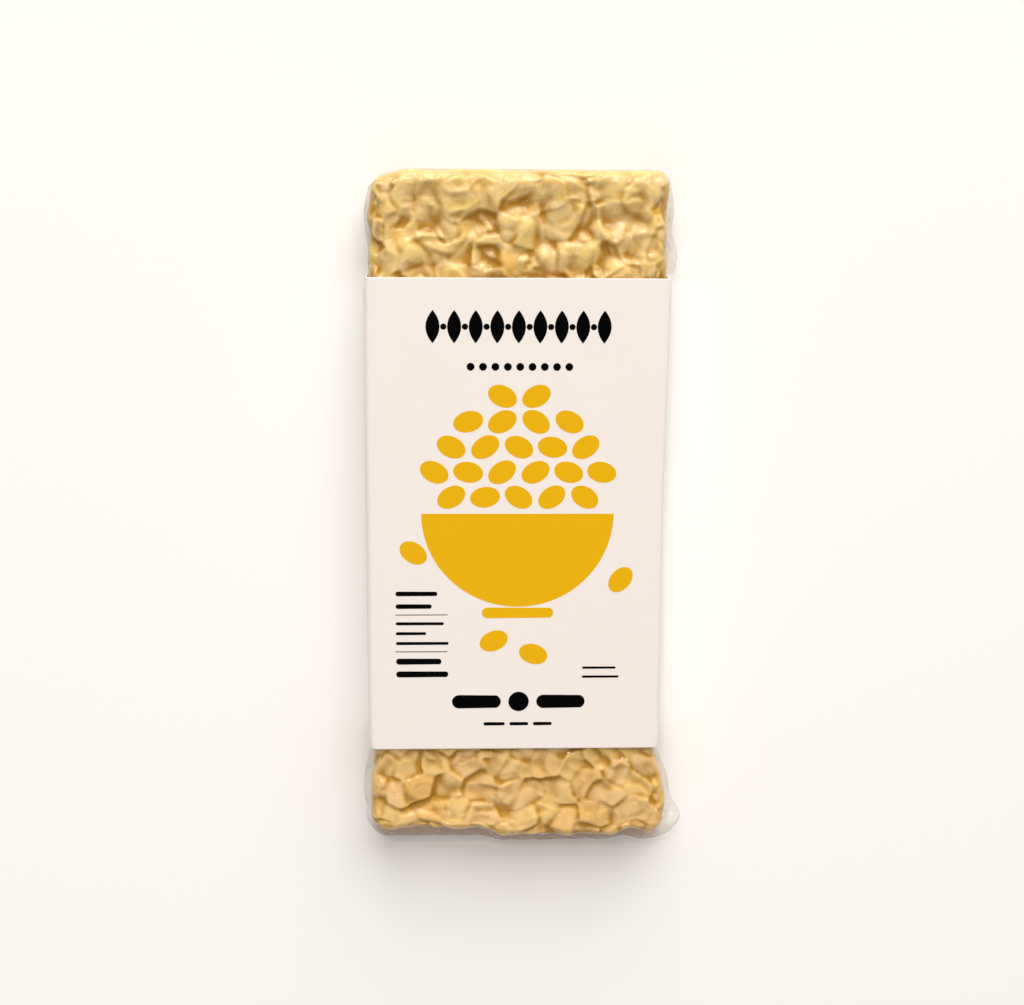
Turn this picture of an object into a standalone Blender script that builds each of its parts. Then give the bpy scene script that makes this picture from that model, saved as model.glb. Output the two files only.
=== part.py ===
"""A tempeh cake vacuum-packed in clear film, with a printed card sleeve round its middle.

The pack lies on its back. X runs across it, Y along it with the head end at +Y, and Z up
out of the front. The origin is the middle of the sleeve's back panel, the face that the
pack rests on. Lengths are in metres and angles in degrees.
"""

import math
import random
from collections import namedtuple

import bmesh
import bpy
import numpy as np
from mathutils import Quaternion, Vector

MM = 0.001

# Driving dimensions
SLEEVE_LENGTH = 120 * MM
SLEEVE_WIDTH = 74.3 * MM
CARD = 0.4 * MM
FOLD_RADIUS = 1.5 * MM
TAB_FOLD_END = 262
LAST_ARC_END = -80
GLUE_TAB = 14 * MM
GAP = 0.3 * MM
CAKE_DEPTH = 16 * MM
HEAD_END = 85.5 * MM
FOOT_END = -86 * MM
EDGE_RADIUS = 3.5 * MM

# The cake's foot swells past the sleeve and is short at its left and in one notch, and its
# head's left corner is drawn in
SWELL_MIDDLE = -76 * MM
SWELL_HALF_LENGTH = 17 * MM
SWELL_RIGHT = 3.5 * MM
SWELL_LEFT = 1.1 * MM
CORNER_WIDTH = 11 * MM
CORNER_LENGTH = 12 * MM
CORNER_IN_X = 1.0 * MM
CORNER_IN_Y = 1.6 * MM
FOOT_SHORT = 2.2 * MM
FOOT_SHORT_FROM = -3 * MM
FOOT_SHORT_FADE = 6 * MM
NOTCH_MIDDLE = 29.5 * MM
NOTCH_HALF_WIDTH = 5 * MM
NOTCH_SHARE = 0.7
FOOT_EDGE = 9 * MM

# The film's sealed edge, and where it stands out: side, middle, half length and reach
FILM_EDGE = 0.8 * MM
FILM_EARS = (
    (1, 65 * MM, 7 * MM, 3.0 * MM),
    (1, 76 * MM, 12 * MM, 1.8 * MM),
    (-1, 76 * MM, 14 * MM, 1.0 * MM),
    (1, -72 * MM, 14 * MM, 1.5 * MM),
    (1, -86 * MM, 11.5 * MM, 7.8 * MM),
    (-1, -72 * MM, 20 * MM, 1.9 * MM),
    (-1, -87 * MM, 7 * MM, 2.4 * MM),
)
FILM_FOOT = 3.8 * MM

# Soya beans, split and whole, pressed into the cake's skin: two layers, each with its pitch and
# the least and most that a bean is sunk under the envelope
BEAN_SEED = 7
BEAN_LAYERS = ((5.4 * MM, 0.0, 1.1 * MM), (4.5 * MM, 0.8 * MM, 2.0 * MM))
BEAN_JITTER = 1.8 * MM
BEAN_LENGTH = (9.0 * MM, 12.0 * MM)
BEAN_WIDTH = (7.2 * MM, 9.0 * MM)
DOME_HEIGHT = (2.8 * MM, 3.8 * MM)
DOMES_OUT_AT_HEAD = 0.45
DOMES_OUT_AT_FOOT = 0.2
NOT_ON_EDGE = 0.8
DOME_TIP = (5, 35)
FLAT_TIP = (150, 176)
EDGE_TIP = (60, 100)
SPLIT_SHARE = 0.85
CORE_DEPTH = 2.6 * MM
RELIEF_AT_SIDES = 0.45
RELIEF_AT_HEAD = 1.05
RELIEF_AT_FOOT = 0.85
RELIEF_FADE = 0.5 * MM
RELIEF_STEP = 2.3 * MM

# Everything else follows from these
BACK = 2 * CARD + GAP
FRONT = BACK + CAKE_DEPTH
SLEEVE_DEPTH = FRONT + GAP + CARD
HALF_WIDTH = SLEEVE_WIDTH / 2 - CARD - GAP
MIDDLE = (BACK + FRONT) / 2
RELIEF_FROM = SLEEVE_LENGTH / 2 + GAP
LOW = (-HALF_WIDTH, FOOT_END, BACK)
HIGH = (HALF_WIDTH, HEAD_END, FRONT)

Bean = namedtuple("Bean", "centre axes radii split")


def clear_scene():
    for obj in list(bpy.data.objects):
        bpy.data.objects.remove(obj, do_unlink=True)


def material(name, colour, roughness):
    made = bpy.data.materials.new(name)
    made.use_nodes = True
    shader = made.node_tree.nodes["Principled BSDF"]
    shader.inputs["Base Color"].default_value = (*colour, 1.0)
    shader.inputs["Roughness"].default_value = roughness
    shader.inputs["Metallic"].default_value = 0.0
    return made


def add_object(name, mesh_builder, finish):
    mesh = bpy.data.meshes.new(name)
    mesh_builder.to_mesh(mesh)
    mesh_builder.free()
    mesh.materials.append(finish)
    mesh.shade_smooth()
    mesh.set_sharp_from_angle(angle=math.radians(40))
    obj = bpy.data.objects.new(name, mesh)
    bpy.context.scene.collection.objects.link(obj)
    return obj


def bump(value, centre, reach):
    """A smooth hump that is 1 at centre and 0 from reach away."""
    near = np.clip(1 - np.abs((value - centre) / reach), 0, 1)
    return near * near * (3 - 2 * near)


# --- The cake's outline and envelope ---------------------------------------------------


def rounded(points):
    """Where points on a plain block lie once its edges are rounded, and their normals."""
    inner = np.clip(points, np.array(LOW) + EDGE_RADIUS, np.array(HIGH) - EDGE_RADIUS)
    out = points - inner
    normals = out / np.linalg.norm(out, axis=1, keepdims=True)
    return inner + normals * EDGE_RADIUS, normals


def outline(points):
    """Swells the foot past the sleeve and draws in the head's left corner and parts of the foot."""
    x, y, z = points.T
    swell = bump(y, SWELL_MIDDLE, SWELL_HALF_LENGTH) * np.where(x > 0, SWELL_RIGHT, SWELL_LEFT)
    drawn_in = bump(x, -HALF_WIDTH, CORNER_WIDTH) * bump(y, HEAD_END, CORNER_LENGTH)
    moved_x = x + x / HALF_WIDTH * swell + CORNER_IN_X * drawn_in
    short_foot = np.clip((FOOT_SHORT_FROM - x) / FOOT_SHORT_FADE, 0, 1)
    short_foot += NOTCH_SHARE * bump(x, NOTCH_MIDDLE, NOTCH_HALF_WIDTH)
    moved_y = y - CORNER_IN_Y * drawn_in + FOOT_SHORT * short_foot * bump(y, FOOT_END, FOOT_EDGE)
    return np.column_stack([moved_x, moved_y, z])


def bareness(y):
    """0 inside the sleeve, rising to 1 just outside its mouths."""
    return np.clip((np.abs(y) - RELIEF_FROM) / RELIEF_FADE, 0, 1)


# --- Beans -----------------------------------------------------------------------------


def scatter(dice, low, high, pitch):
    """Jittered places over a flat patch that has no thickness in one direction."""
    flat = int(np.argmin(np.abs(high - low)))
    across, along = [axis for axis in range(3) if axis != flat]
    columns = max(2, round((high[across] - low[across]) / pitch))
    rows = max(2, round((high[along] - low[along]) / pitch))
    for row in range(rows + 1):
        for column in range(columns + 1):
            place = low.copy()
            shift = 0.5 if row % 2 else 0.0
            place[across] += (high[across] - low[across]) * min(1, (column + shift) / columns)
            place[along] += (high[along] - low[along]) * row / rows
            place[across] += dice.uniform(-BEAN_JITTER, BEAN_JITTER)
            place[along] += dice.uniform(-BEAN_JITTER, BEAN_JITTER)
            yield place


def bean_patches():
    """The block's faces outside the sleeve: front, back, sides and end of each half."""
    for start, end in ((RELIEF_FROM, HEAD_END), (FOOT_END, -RELIEF_FROM)):
        tip = HEAD_END if end == HEAD_END else FOOT_END
        corners = np.array([[-HALF_WIDTH, start, BACK], [HALF_WIDTH, end, FRONT]])
        for axis, side in ((2, 1), (2, 0), (0, 0), (0, 1)):
            patch = corners.copy()
            patch[:, axis] = corners[side, axis]
            yield patch
        patch = corners.copy()
        patch[:, 1] = tip
        yield patch


def reach_of(direction, axes, radii, split):
    """How far a bean reaches from its centre in a direction; a split bean's back is flat."""
    local = direction @ axes
    if split and local[2] < 0:
        local = local * np.array([1, 1, 0])
    return np.linalg.norm(local * radii)


def make_bean(dice, place, normal, sunk):
    """A split or whole bean whose outermost point is sunk under the envelope at place."""
    length, width = dice.uniform(*BEAN_LENGTH), dice.uniform(*BEAN_WIDTH)
    radii = np.array([length / 2, width / 2, dice.uniform(*DOME_HEIGHT)])
    kind = dice.random()
    if kind < (DOMES_OUT_AT_HEAD if place[1] > 0 else DOMES_OUT_AT_FOOT):
        tip = dice.uniform(*DOME_TIP)
    elif kind < NOT_ON_EDGE:
        tip = dice.uniform(*FLAT_TIP)
    else:
        tip = dice.uniform(*EDGE_TIP)
    split = dice.random() < SPLIT_SHARE
    turn = (
        Vector(normal).to_track_quat("Z", "Y")
        @ Quaternion((0, 0, 1), dice.uniform(0, 2 * math.pi))
        @ Quaternion((0, 1, 0), math.radians(tip))
        @ Quaternion((0, 0, 1), dice.uniform(0, 2 * math.pi))
    )
    axes = np.array(turn.to_matrix())
    centre = place - normal * (reach_of(normal, axes, radii, split) + sunk)
    for axis, step in enumerate(np.eye(3)):
        least = LOW[axis] + reach_of(-step, axes, radii, split)
        most = HIGH[axis] - reach_of(step, axes, radii, split)
        centre[axis] = min(max(centre[axis], least), most)
    return Bean(centre, axes, radii, split)


def bean_bed():
    dice = random.Random(BEAN_SEED)
    beans = []
    for low, high in bean_patches():
        for pitch, least, most in BEAN_LAYERS:
            places, normals = rounded(np.array(list(scatter(dice, low, high, pitch))))
            for place, normal in zip(places, normals):
                beans.append(make_bean(dice, place, normal, dice.uniform(least, most)))
    return beans


def depth_to_bean(points, normals, bean):
    """How far below the envelope each point's inward ray meets the bean; inf if it misses."""
    start = (points - bean.centre) @ bean.axes
    ray = -normals @ bean.axes
    unit_start, unit_ray = start / bean.radii, ray / bean.radii
    a = (unit_ray**2).sum(1)
    b = (unit_start * unit_ray).sum(1)
    c = (unit_start**2).sum(1) - 1
    inside = b * b - a * c
    root = np.sqrt(np.maximum(inside, 0))
    enter, leave = (-b - root) / a, (-b + root) / a
    if bean.split:
        rise = np.where(np.abs(ray[:, 2]) < 1e-9, 1e-9, ray[:, 2])
        crossing = -start[:, 2] / rise
        enter = np.where(rise > 0, np.maximum(enter, crossing), enter)
        leave = np.where(rise < 0, np.minimum(leave, crossing), leave)
    return np.where((inside > 0) & (enter < leave), enter, np.inf)


def relief_depth(points, normals):
    """How deep the bean relief lies below the envelope at each point."""
    depth = np.full(len(points), CORE_DEPTH)
    for bean in bean_bed():
        near = np.linalg.norm(points - bean.centre, axis=1) < 2 * bean.radii[0]
        if near.any():
            found = depth_to_bean(points[near], normals[near], bean)
            depth[near] = np.minimum(depth[near], found)
    evenness = RELIEF_AT_SIDES + (1 - RELIEF_AT_SIDES) * np.abs(normals[:, 2])
    evenness *= np.where(points[:, 1] > 0, RELIEF_AT_HEAD, RELIEF_AT_FOOT)
    return np.maximum(depth, 0) * bareness(points[:, 1]) * evenness


# --- The vacuum pack: the cake with its film ---------------------------------------------


def film_reach(points, normals):
    """How far the film's sealed edge stands out past the cake's envelope at sides and foot."""
    x, y, _ = points.T
    sides = sum(
        reach * bump(y, middle, half_length) * (np.sign(x) == side)
        for side, middle, half_length, reach in FILM_EARS
    )
    foot = FILM_FOOT * (y < 0)
    return bareness(y) * (sides * normals[:, 0] ** 2 + foot * normals[:, 1] ** 2)


def stations(start, end, step):
    count = max(1, round((end - start) / step))
    return [start + (end - start) * i / count for i in range(count + 1)]


def gridded_block():
    """A plain block cut along the lines where its surface will be shaped."""
    size = Vector((2 * HALF_WIDTH, HEAD_END - FOOT_END, CAKE_DEPTH))
    mesh = bmesh.new()
    bmesh.ops.create_cube(mesh, size=1)
    bmesh.ops.scale(mesh, vec=size, verts=mesh.verts)
    bmesh.ops.translate(mesh, vec=(0, (HEAD_END + FOOT_END) / 2, MIDDLE), verts=mesh.verts)
    half_film = FILM_EDGE / 2
    cuts = {
        0: stations(-HALF_WIDTH, HALF_WIDTH, RELIEF_STEP),
        1: stations(FOOT_END, -RELIEF_FROM, RELIEF_STEP) + stations(RELIEF_FROM, HEAD_END, RELIEF_STEP),
        2: stations(BACK, MIDDLE - half_film, RELIEF_STEP)
        + [MIDDLE]
        + stations(MIDDLE + half_film, FRONT, RELIEF_STEP),
    }
    for axis, places in cuts.items():
        normal = Vector([float(axis == i) for i in range(3)])
        for place in places:
            everything = mesh.verts[:] + mesh.edges[:] + mesh.faces[:]
            bmesh.ops.bisect_plane(mesh, geom=everything, dist=1e-6, plane_co=normal * place, plane_no=normal)
    return mesh


def build_pack():
    """The cake in its film, with the bean relief at both ends and the film's sealed edge."""
    mesh = gridded_block()
    block = np.array([vert.co for vert in mesh.verts])
    surface, normals = rounded(block)
    on_film = np.abs(block[:, 2] - MIDDLE) < FILM_EDGE / 4
    raised = np.where(on_film, film_reach(surface, normals), -relief_depth(surface, normals))
    shaped = outline(surface + normals * raised[:, None])
    for vert, place in zip(mesh.verts, shaped):
        vert.co = Vector(place)
    bmesh.ops.recalc_face_normals(mesh, faces=mesh.faces)
    return add_object("vacuum_pack", mesh, material("packed_tempeh", (0.72, 0.46, 0.14), 0.35))


# --- The card sleeve -----------------------------------------------------------------------


def arc(centre, radius, start, end, steps=6):
    """Points of an arc from start to end degrees, both included."""
    angles = (math.radians(start + (end - start) * i / steps) for i in range(steps + 1))
    return [(centre[0] + radius * math.cos(a), centre[1] + radius * math.sin(a)) for a in angles]


def sleeve_profile():
    """The sleeve's cross-section: its outer skin, then its inner skin with the glue tab's step.

    The tab's fold stops where the back panel's edge covers it, and the last arc stops short of
    the point that the inner skin starts from.
    """
    half = SLEEVE_WIDTH / 2
    near, far = FOLD_RADIUS, SLEEVE_DEPTH - FOLD_RADIUS
    inner_radius = FOLD_RADIUS - CARD
    tab_fold = (-half + FOLD_RADIUS, CARD + FOLD_RADIUS)
    tab_end = -half + FOLD_RADIUS + GLUE_TAB
    outer = (
        arc((half - FOLD_RADIUS, near), FOLD_RADIUS, -90, 0)
        + arc((half - FOLD_RADIUS, far), FOLD_RADIUS, 0, 90)
        + arc((-half + FOLD_RADIUS, far), FOLD_RADIUS, 90, 180)
        + arc(tab_fold, FOLD_RADIUS, 180, TAB_FOLD_END)
        + [(-half + CARD, CARD), (-half + CARD, 0)]
    )
    inner = (
        [(half - FOLD_RADIUS, CARD), (tab_end, CARD), (tab_end, 2 * CARD)]
        + arc(tab_fold, inner_radius, 270, 180)
        + arc((-half + FOLD_RADIUS, far), inner_radius, 180, 90)
        + arc((half - FOLD_RADIUS, far), inner_radius, 90, 0)
        + arc((half - FOLD_RADIUS, near), inner_radius, 0, LAST_ARC_END)
    )
    return outer, inner


def ring_of(mesh, profile):
    verts = [mesh.verts.new((x, -SLEEVE_LENGTH / 2, z)) for x, z in profile]
    return [mesh.edges.new((a, b)) for a, b in zip(verts, verts[1:] + verts[:1])]


def build_sleeve():
    """One piece of card folded round the pack, its tab glued inside the back panel."""
    mesh = bmesh.new()
    outer, inner = sleeve_profile()
    edges = ring_of(mesh, outer) + ring_of(mesh, inner)
    cut_end = bmesh.ops.triangle_fill(mesh, use_beauty=True, edges=edges)["geom"]
    faces = [item for item in cut_end if isinstance(item, bmesh.types.BMFace)]
    swept = bmesh.ops.extrude_face_region(mesh, geom=faces)["geom"]
    far_end = [item for item in swept if isinstance(item, bmesh.types.BMVert)]
    bmesh.ops.translate(mesh, vec=(0, SLEEVE_LENGTH, 0), verts=far_end)
    bmesh.ops.recalc_face_normals(mesh, faces=mesh.faces)
    return add_object("card_sleeve", mesh, material("sleeve_card", (0.90, 0.83, 0.78), 0.6))


def main():
    clear_scene()
    build_pack()
    build_sleeve()


main()
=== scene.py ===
"""The looks of a tempeh cake: vacuum-packed in clear film, with a printed card sleeve round it.

The pack lies on its back with its head end at +Y and its front at +Z, in metres, in the frame
of its CAD model, whose boxes give the sizes of the cake and of the sleeve.
"""

import math
import random
from collections import namedtuple

import bmesh
import bpy
import numpy as np
from mathutils import Euler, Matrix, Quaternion, Vector


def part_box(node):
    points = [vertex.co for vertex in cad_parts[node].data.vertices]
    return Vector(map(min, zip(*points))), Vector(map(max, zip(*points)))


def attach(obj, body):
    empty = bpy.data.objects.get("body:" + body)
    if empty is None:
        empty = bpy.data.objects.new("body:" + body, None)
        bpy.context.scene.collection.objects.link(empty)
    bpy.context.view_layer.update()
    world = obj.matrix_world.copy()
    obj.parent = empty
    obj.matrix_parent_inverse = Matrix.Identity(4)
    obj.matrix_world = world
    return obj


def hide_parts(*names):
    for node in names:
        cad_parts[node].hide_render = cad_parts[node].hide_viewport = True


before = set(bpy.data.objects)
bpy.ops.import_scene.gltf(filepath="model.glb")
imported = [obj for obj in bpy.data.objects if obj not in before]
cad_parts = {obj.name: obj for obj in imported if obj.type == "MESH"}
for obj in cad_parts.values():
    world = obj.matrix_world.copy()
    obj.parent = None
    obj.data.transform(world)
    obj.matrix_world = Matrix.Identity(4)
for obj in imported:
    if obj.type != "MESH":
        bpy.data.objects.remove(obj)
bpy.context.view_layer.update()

# --- Camera, light and floor -----------------------------------------------------------------
# A camera looks down on the pack from over its head end. A wide softbox past the head lights it
# as a ceiling lamp lights a pack that stands up, a small one nearer to it draws glints in the
# film, and one overhead and a pale sky fill the shadows. The floor is plain and pale.

MM = 0.001
FLOOR_HALF = 3.0
FLOOR_GAP = 0.05 * MM

camera = bpy.data.objects.new("camera", bpy.data.cameras.new("camera"))
camera.data.lens = 52.7
camera.data.sensor_width = 36
camera.data.clip_start = 0.01
camera.location = (-14.4 * MM, 86.0 * MM, 379.8 * MM)
camera.rotation_euler = Euler([math.radians(a) for a in (-12.64, -2.0, 0.42)])
bpy.context.scene.collection.objects.link(camera)
bpy.context.scene.camera = camera
bpy.context.scene.view_settings.view_transform = "Standard"


def add_softbox(name, place, size, power, colour):
    """A square lamp at place that faces the pack."""
    lamp = bpy.data.lights.new(name, "AREA")
    lamp.size = size
    lamp.energy = power
    lamp.color = colour
    softbox = bpy.data.objects.new(name, lamp)
    softbox.location = place
    softbox.rotation_euler = Vector(place).to_track_quat("Z", "Y").to_euler()
    bpy.context.scene.collection.objects.link(softbox)


add_softbox("head_softbox", (0.38, 2.77, 1.61), size=2.6, power=124.0, colour=(1.0, 0.985, 0.955))
add_softbox("overhead_softbox", (-0.1, -0.6, 1.1), size=0.9, power=3.0, colour=(1.0, 0.985, 0.955))
add_softbox("front_softbox", (-0.24, 0.9, 1.5), size=0.18, power=5.0, colour=(1.0, 0.98, 0.95))

sky = bpy.data.worlds.new("sky")
sky.use_nodes = True
background = sky.node_tree.nodes["Background"]
background.inputs["Color"].default_value = (1.0, 0.94, 0.85, 1)
background.inputs["Strength"].default_value = 0.29
bpy.context.scene.world = sky

floor_mesh = bpy.data.meshes.new("floor")
floor_grid = bmesh.new()
bmesh.ops.create_grid(floor_grid, x_segments=1, y_segments=1, size=FLOOR_HALF)
bmesh.ops.translate(floor_grid, vec=(0, 0, -FLOOR_GAP), verts=floor_grid.verts)
floor_grid.to_mesh(floor_mesh)
floor_grid.free()
floor = bpy.data.objects.new("floor", floor_mesh)
bpy.context.scene.collection.objects.link(floor)
floor_paint = bpy.data.materials.new("floor_paint")
floor_paint.use_nodes = True
shader = floor_paint.node_tree.nodes["Principled BSDF"]
shader.inputs["Base Color"].default_value = (0.93, 0.925, 0.915, 1)
shader.inputs["Roughness"].default_value = 0.8
floor_mesh.materials.append(floor_paint)

# --- Tempeh cake -----------------------------------------------------------------------------
# A slab of split soya beans that mould has bound into one firm cake. The vacuum has pressed its
# skin against the film into domes, stepped facets and pinched ridges. The skin's height over a
# rounded slab is worked out from all of these, at the two ends that the sleeve leaves bare.

CARD = 0.4 * MM
CLEARANCE = 0.3 * MM
FILM_FOOT = 3.8 * MM
EDGE_RADIUS = 3.5 * MM
CELL = 0.5 * MM
SKIN_TUCK = 1.5 * MM
FILM_LIFT = 0.08 * MM
SLIGHT = 1e-6

sleeve_low, sleeve_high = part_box("card_sleeve")
pack_low, pack_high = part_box("vacuum_pack")
cake_high = Vector((sleeve_high.x - CARD - CLEARANCE, pack_high.y, pack_high.z))
cake_low = Vector((-cake_high.x, pack_low.y + FILM_FOOT, pack_low.z))
relief_from = sleeve_high.y - SKIN_TUCK


def gridded_slab(low, high, cell, plain_to):
    """A closed box in even square cells, with long strips instead where |y| is under plain_to."""
    slab = bmesh.new()
    bmesh.ops.create_cube(slab, size=1)
    bmesh.ops.scale(slab, vec=high - low, verts=slab.verts)
    bmesh.ops.translate(slab, vec=(high + low) / 2, verts=slab.verts)
    for y in (-plain_to, plain_to):
        everything = slab.verts[:] + slab.edges[:] + slab.faces[:]
        bmesh.ops.bisect_plane(
            slab, geom=everything, dist=SLIGHT, plane_co=(0, y, 0), plane_no=(0, 1, 0)
        )
    for start, end, axis in (
        (None, None, 0),
        (None, None, 2),
        (low.y, -plain_to, 1),
        (plain_to, high.y, 1),
    ):
        along = []
        for edge in slab.edges:
            run = edge.verts[1].co - edge.verts[0].co
            middle = (edge.verts[0].co.y + edge.verts[1].co.y) / 2
            if abs(run[axis]) > 0.9 * run.length and (start is None or start < middle < end):
                along.append(edge)
        cuts = round(along[0].calc_length() / cell) - 1
        bmesh.ops.subdivide_edges(slab, edges=along, cuts=cuts, use_grid_fill=True)
    shown = [
        edge
        for edge in slab.edges
        if min(vert.co.z for vert in edge.verts) > high.z - SLIGHT
        and min(abs(vert.co.y) for vert in edge.verts) > plain_to - SLIGHT
        and max(abs(vert.co.y) for vert in edge.verts) > plain_to + SLIGHT
    ]
    bmesh.ops.subdivide_edges(slab, edges=shown, cuts=1, use_grid_fill=True)
    return slab


def bump(value, centre, reach):
    """A smooth hump that is 1 at centre and 0 from reach away."""
    near = np.clip(1 - np.abs((value - centre) / reach), 0, 1)
    return near * near * (3 - 2 * near)


def rounded(points):
    """Where points on a plain block lie once its edges are rounded, and their normals."""
    low = np.array(cake_low) + EDGE_RADIUS
    high = np.array(cake_high) - EDGE_RADIUS
    inner = np.clip(points, low, high)
    out = points - inner
    normals = out / np.linalg.norm(out, axis=1, keepdims=True)
    return inner + normals * EDGE_RADIUS, normals


SWELL_MIDDLE = -76 * MM
SWELL_REACH = 17 * MM
SWELL_RIGHT = 3.5 * MM
SWELL_LEFT = 1.1 * MM
WAIST = 0.5 * MM
WAIST_END = sleeve_high.y - 1 * MM
CORNER_WIDTH = 11 * MM
CORNER_LENGTH = 12 * MM
CORNER_INWARDS = 1.0 * MM
CORNER_DOWN = 1.6 * MM
FOOT_SHORT = 2.2 * MM
FOOT_SHORT_DEPTH = 9 * MM
FOOT_SHORT_FROM = -3 * MM
FOOT_SHORT_RUN = 6 * MM
NOTCH_MIDDLE = 29.5 * MM
NOTCH_REACH = 5 * MM
NOTCH_SHARE = 0.7


def outline(points):
    """Swells the foot past the sleeve and draws in the head's left corner and parts of the foot."""
    x, y, z = points.T
    swell = bump(y, SWELL_MIDDLE, SWELL_REACH) * np.where(x > 0, SWELL_RIGHT, SWELL_LEFT)
    corner = bump(x, cake_low.x, CORNER_WIDTH) * bump(y, cake_high.y, CORNER_LENGTH)
    waisted = WAIST * bump(y, 0, WAIST_END)
    moved_x = x + x / cake_high.x * (swell - waisted) + CORNER_INWARDS * corner
    short_left = np.clip((FOOT_SHORT_FROM - x) / FOOT_SHORT_RUN, 0, 1)
    short_foot = short_left + NOTCH_SHARE * bump(x, NOTCH_MIDDLE, NOTCH_REACH)
    at_tip = bump(y, cake_low.y, FOOT_SHORT_DEPTH)
    moved_y = y - CORNER_DOWN * corner + FOOT_SHORT * short_foot * at_tip
    return np.column_stack([moved_x, moved_y, z])


BEAN_LAYERS = ((5.4, 0.0, 1.1), (4.5, 0.8, 2.0))  # pitch, least and most depth, in millimetres
BEAN_JITTER = 1.8 * MM
BEAN_LENGTHS = (9.0, 12.0)  # these three in millimetres
BEAN_WIDTHS = (7.2, 9.0)
BEAN_RISES = (2.8, 3.8)
DOMES_AT_HEAD = 0.45
DOMES_AT_FOOT = 0.2
DOMES_AND_FLATS = 0.80
DOME_OUTWARDS = (5, 35)  # these three are a bean's tip in degrees
FLAT_OUTWARDS = (150, 176)
ON_ITS_EDGE = (60, 100)
SPLIT_SHARE = 0.85

Bean = namedtuple("Bean", "centre axes radii split tone top")


def scatter(dice, low, high, pitch, jitter):
    """Jittered places over a flat patch that has no thickness in one direction."""
    flat = int(np.argmin(np.abs(high - low)))
    across, along = [axis for axis in range(3) if axis != flat]
    columns = max(2, round((high[across] - low[across]) / pitch))
    rows = max(2, round((high[along] - low[along]) / pitch))
    for row in range(rows + 1):
        for column in range(columns + 1):
            place = low.copy()
            shift = 0.5 if row % 2 else 0.0
            place[across] += (high[across] - low[across]) * min(1, (column + shift) / columns)
            place[along] += (high[along] - low[along]) * row / rows
            place[across] += dice.uniform(-jitter, jitter)
            place[along] += dice.uniform(-jitter, jitter)
            yield place


def bean_patches():
    """The block's faces outside the sleeve: front, back, sides and end of each half."""
    block_low, block_high = np.array(cake_low), np.array(cake_high)
    for start, end, tip in (
        (relief_from, cake_high.y, cake_high.y),
        (cake_low.y, -relief_from, cake_low.y),
    ):
        corners = np.array([block_low, block_high])
        corners[:, 1] = start, end
        for axis, side in ((2, 1), (2, 0), (0, 0), (0, 1)):
            patch = corners.copy()
            patch[:, axis] = corners[side, axis]
            yield patch
        patch = corners.copy()
        patch[:, 1] = tip
        yield patch


def reach_of(direction, axes, radii, split):
    """How far a bean reaches from its centre in a direction; a split bean's back is flat."""
    local = direction @ axes
    if split and local[2] < 0:
        local = local * np.array([1, 1, 0])
    return np.linalg.norm(local * radii)


def make_bean(dice, place, normal, sunk):
    """A split or whole bean whose outermost point is sunk under the envelope at place."""
    length, width = dice.uniform(*BEAN_LENGTHS) * MM, dice.uniform(*BEAN_WIDTHS) * MM
    radii = np.array([length / 2, width / 2, dice.uniform(*BEAN_RISES) * MM])
    kind = dice.random()
    if kind < (DOMES_AT_HEAD if place[1] > 0 else DOMES_AT_FOOT):
        tip = dice.uniform(*DOME_OUTWARDS)
    elif kind < DOMES_AND_FLATS:
        tip = dice.uniform(*FLAT_OUTWARDS)
    else:
        tip = dice.uniform(*ON_ITS_EDGE)
    split = dice.random() < SPLIT_SHARE
    turn = (
        Vector(normal).to_track_quat("Z", "Y")
        @ Quaternion((0, 0, 1), dice.uniform(0, 2 * math.pi))
        @ Quaternion((0, 1, 0), math.radians(tip))
        @ Quaternion((0, 0, 1), dice.uniform(0, 2 * math.pi))
    )
    axes = np.array(turn.to_matrix())
    centre = place - normal * (reach_of(normal, axes, radii, split) + sunk)
    for axis, step in enumerate(np.eye(3)):
        least = cake_low[axis] + reach_of(-step, axes, radii, split)
        most = cake_high[axis] - reach_of(step, axes, radii, split)
        centre[axis] = min(max(centre[axis], least), most)
    return Bean(centre, axes, radii, split, dice.random(), place - normal * sunk)


def bean_bed():
    """The beans in two layers under every face that the sleeve leaves bare."""
    dice = random.Random(7)
    beans = []
    for low, high in bean_patches():
        for pitch, least, most in BEAN_LAYERS:
            places = np.array(list(scatter(dice, low, high, pitch * MM, BEAN_JITTER)))
            for place, normal in zip(*rounded(places)):
                beans.append(make_bean(dice, place, normal, dice.uniform(least, most) * MM))
    return beans


LEVEL = 1e-9  # a ray that rises less than this runs along the bean's flat face


def depth_to_bean(points, normals, bean):
    """How far below the envelope each point's inward ray meets the bean; inf if it misses."""
    start = (points - bean.centre) @ bean.axes
    ray = -normals @ bean.axes
    unit_start, unit_ray = start / bean.radii, ray / bean.radii
    a = (unit_ray**2).sum(1)
    b = (unit_start * unit_ray).sum(1)
    c = (unit_start**2).sum(1) - 1
    inside = b * b - a * c
    root = np.sqrt(np.maximum(inside, 0))
    enter, leave = (-b - root) / a, (-b + root) / a
    if bean.split:
        rise = np.where(np.abs(ray[:, 2]) < LEVEL, LEVEL, ray[:, 2])
        crossing = -start[:, 2] / rise
        enter = np.where(rise > 0, np.maximum(enter, crossing), enter)
        leave = np.where(rise < 0, np.minimum(leave, crossing), leave)
    return np.where((inside > 0) & (enter < leave), enter, np.inf)


WOBBLE_WAVES = 6
WOBBLE_LENGTHS = (6, 14)  # millimetres
WOBBLE_PUSH = 0.4  # millimetres
FULL_TURN = 6.3  # radians


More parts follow.
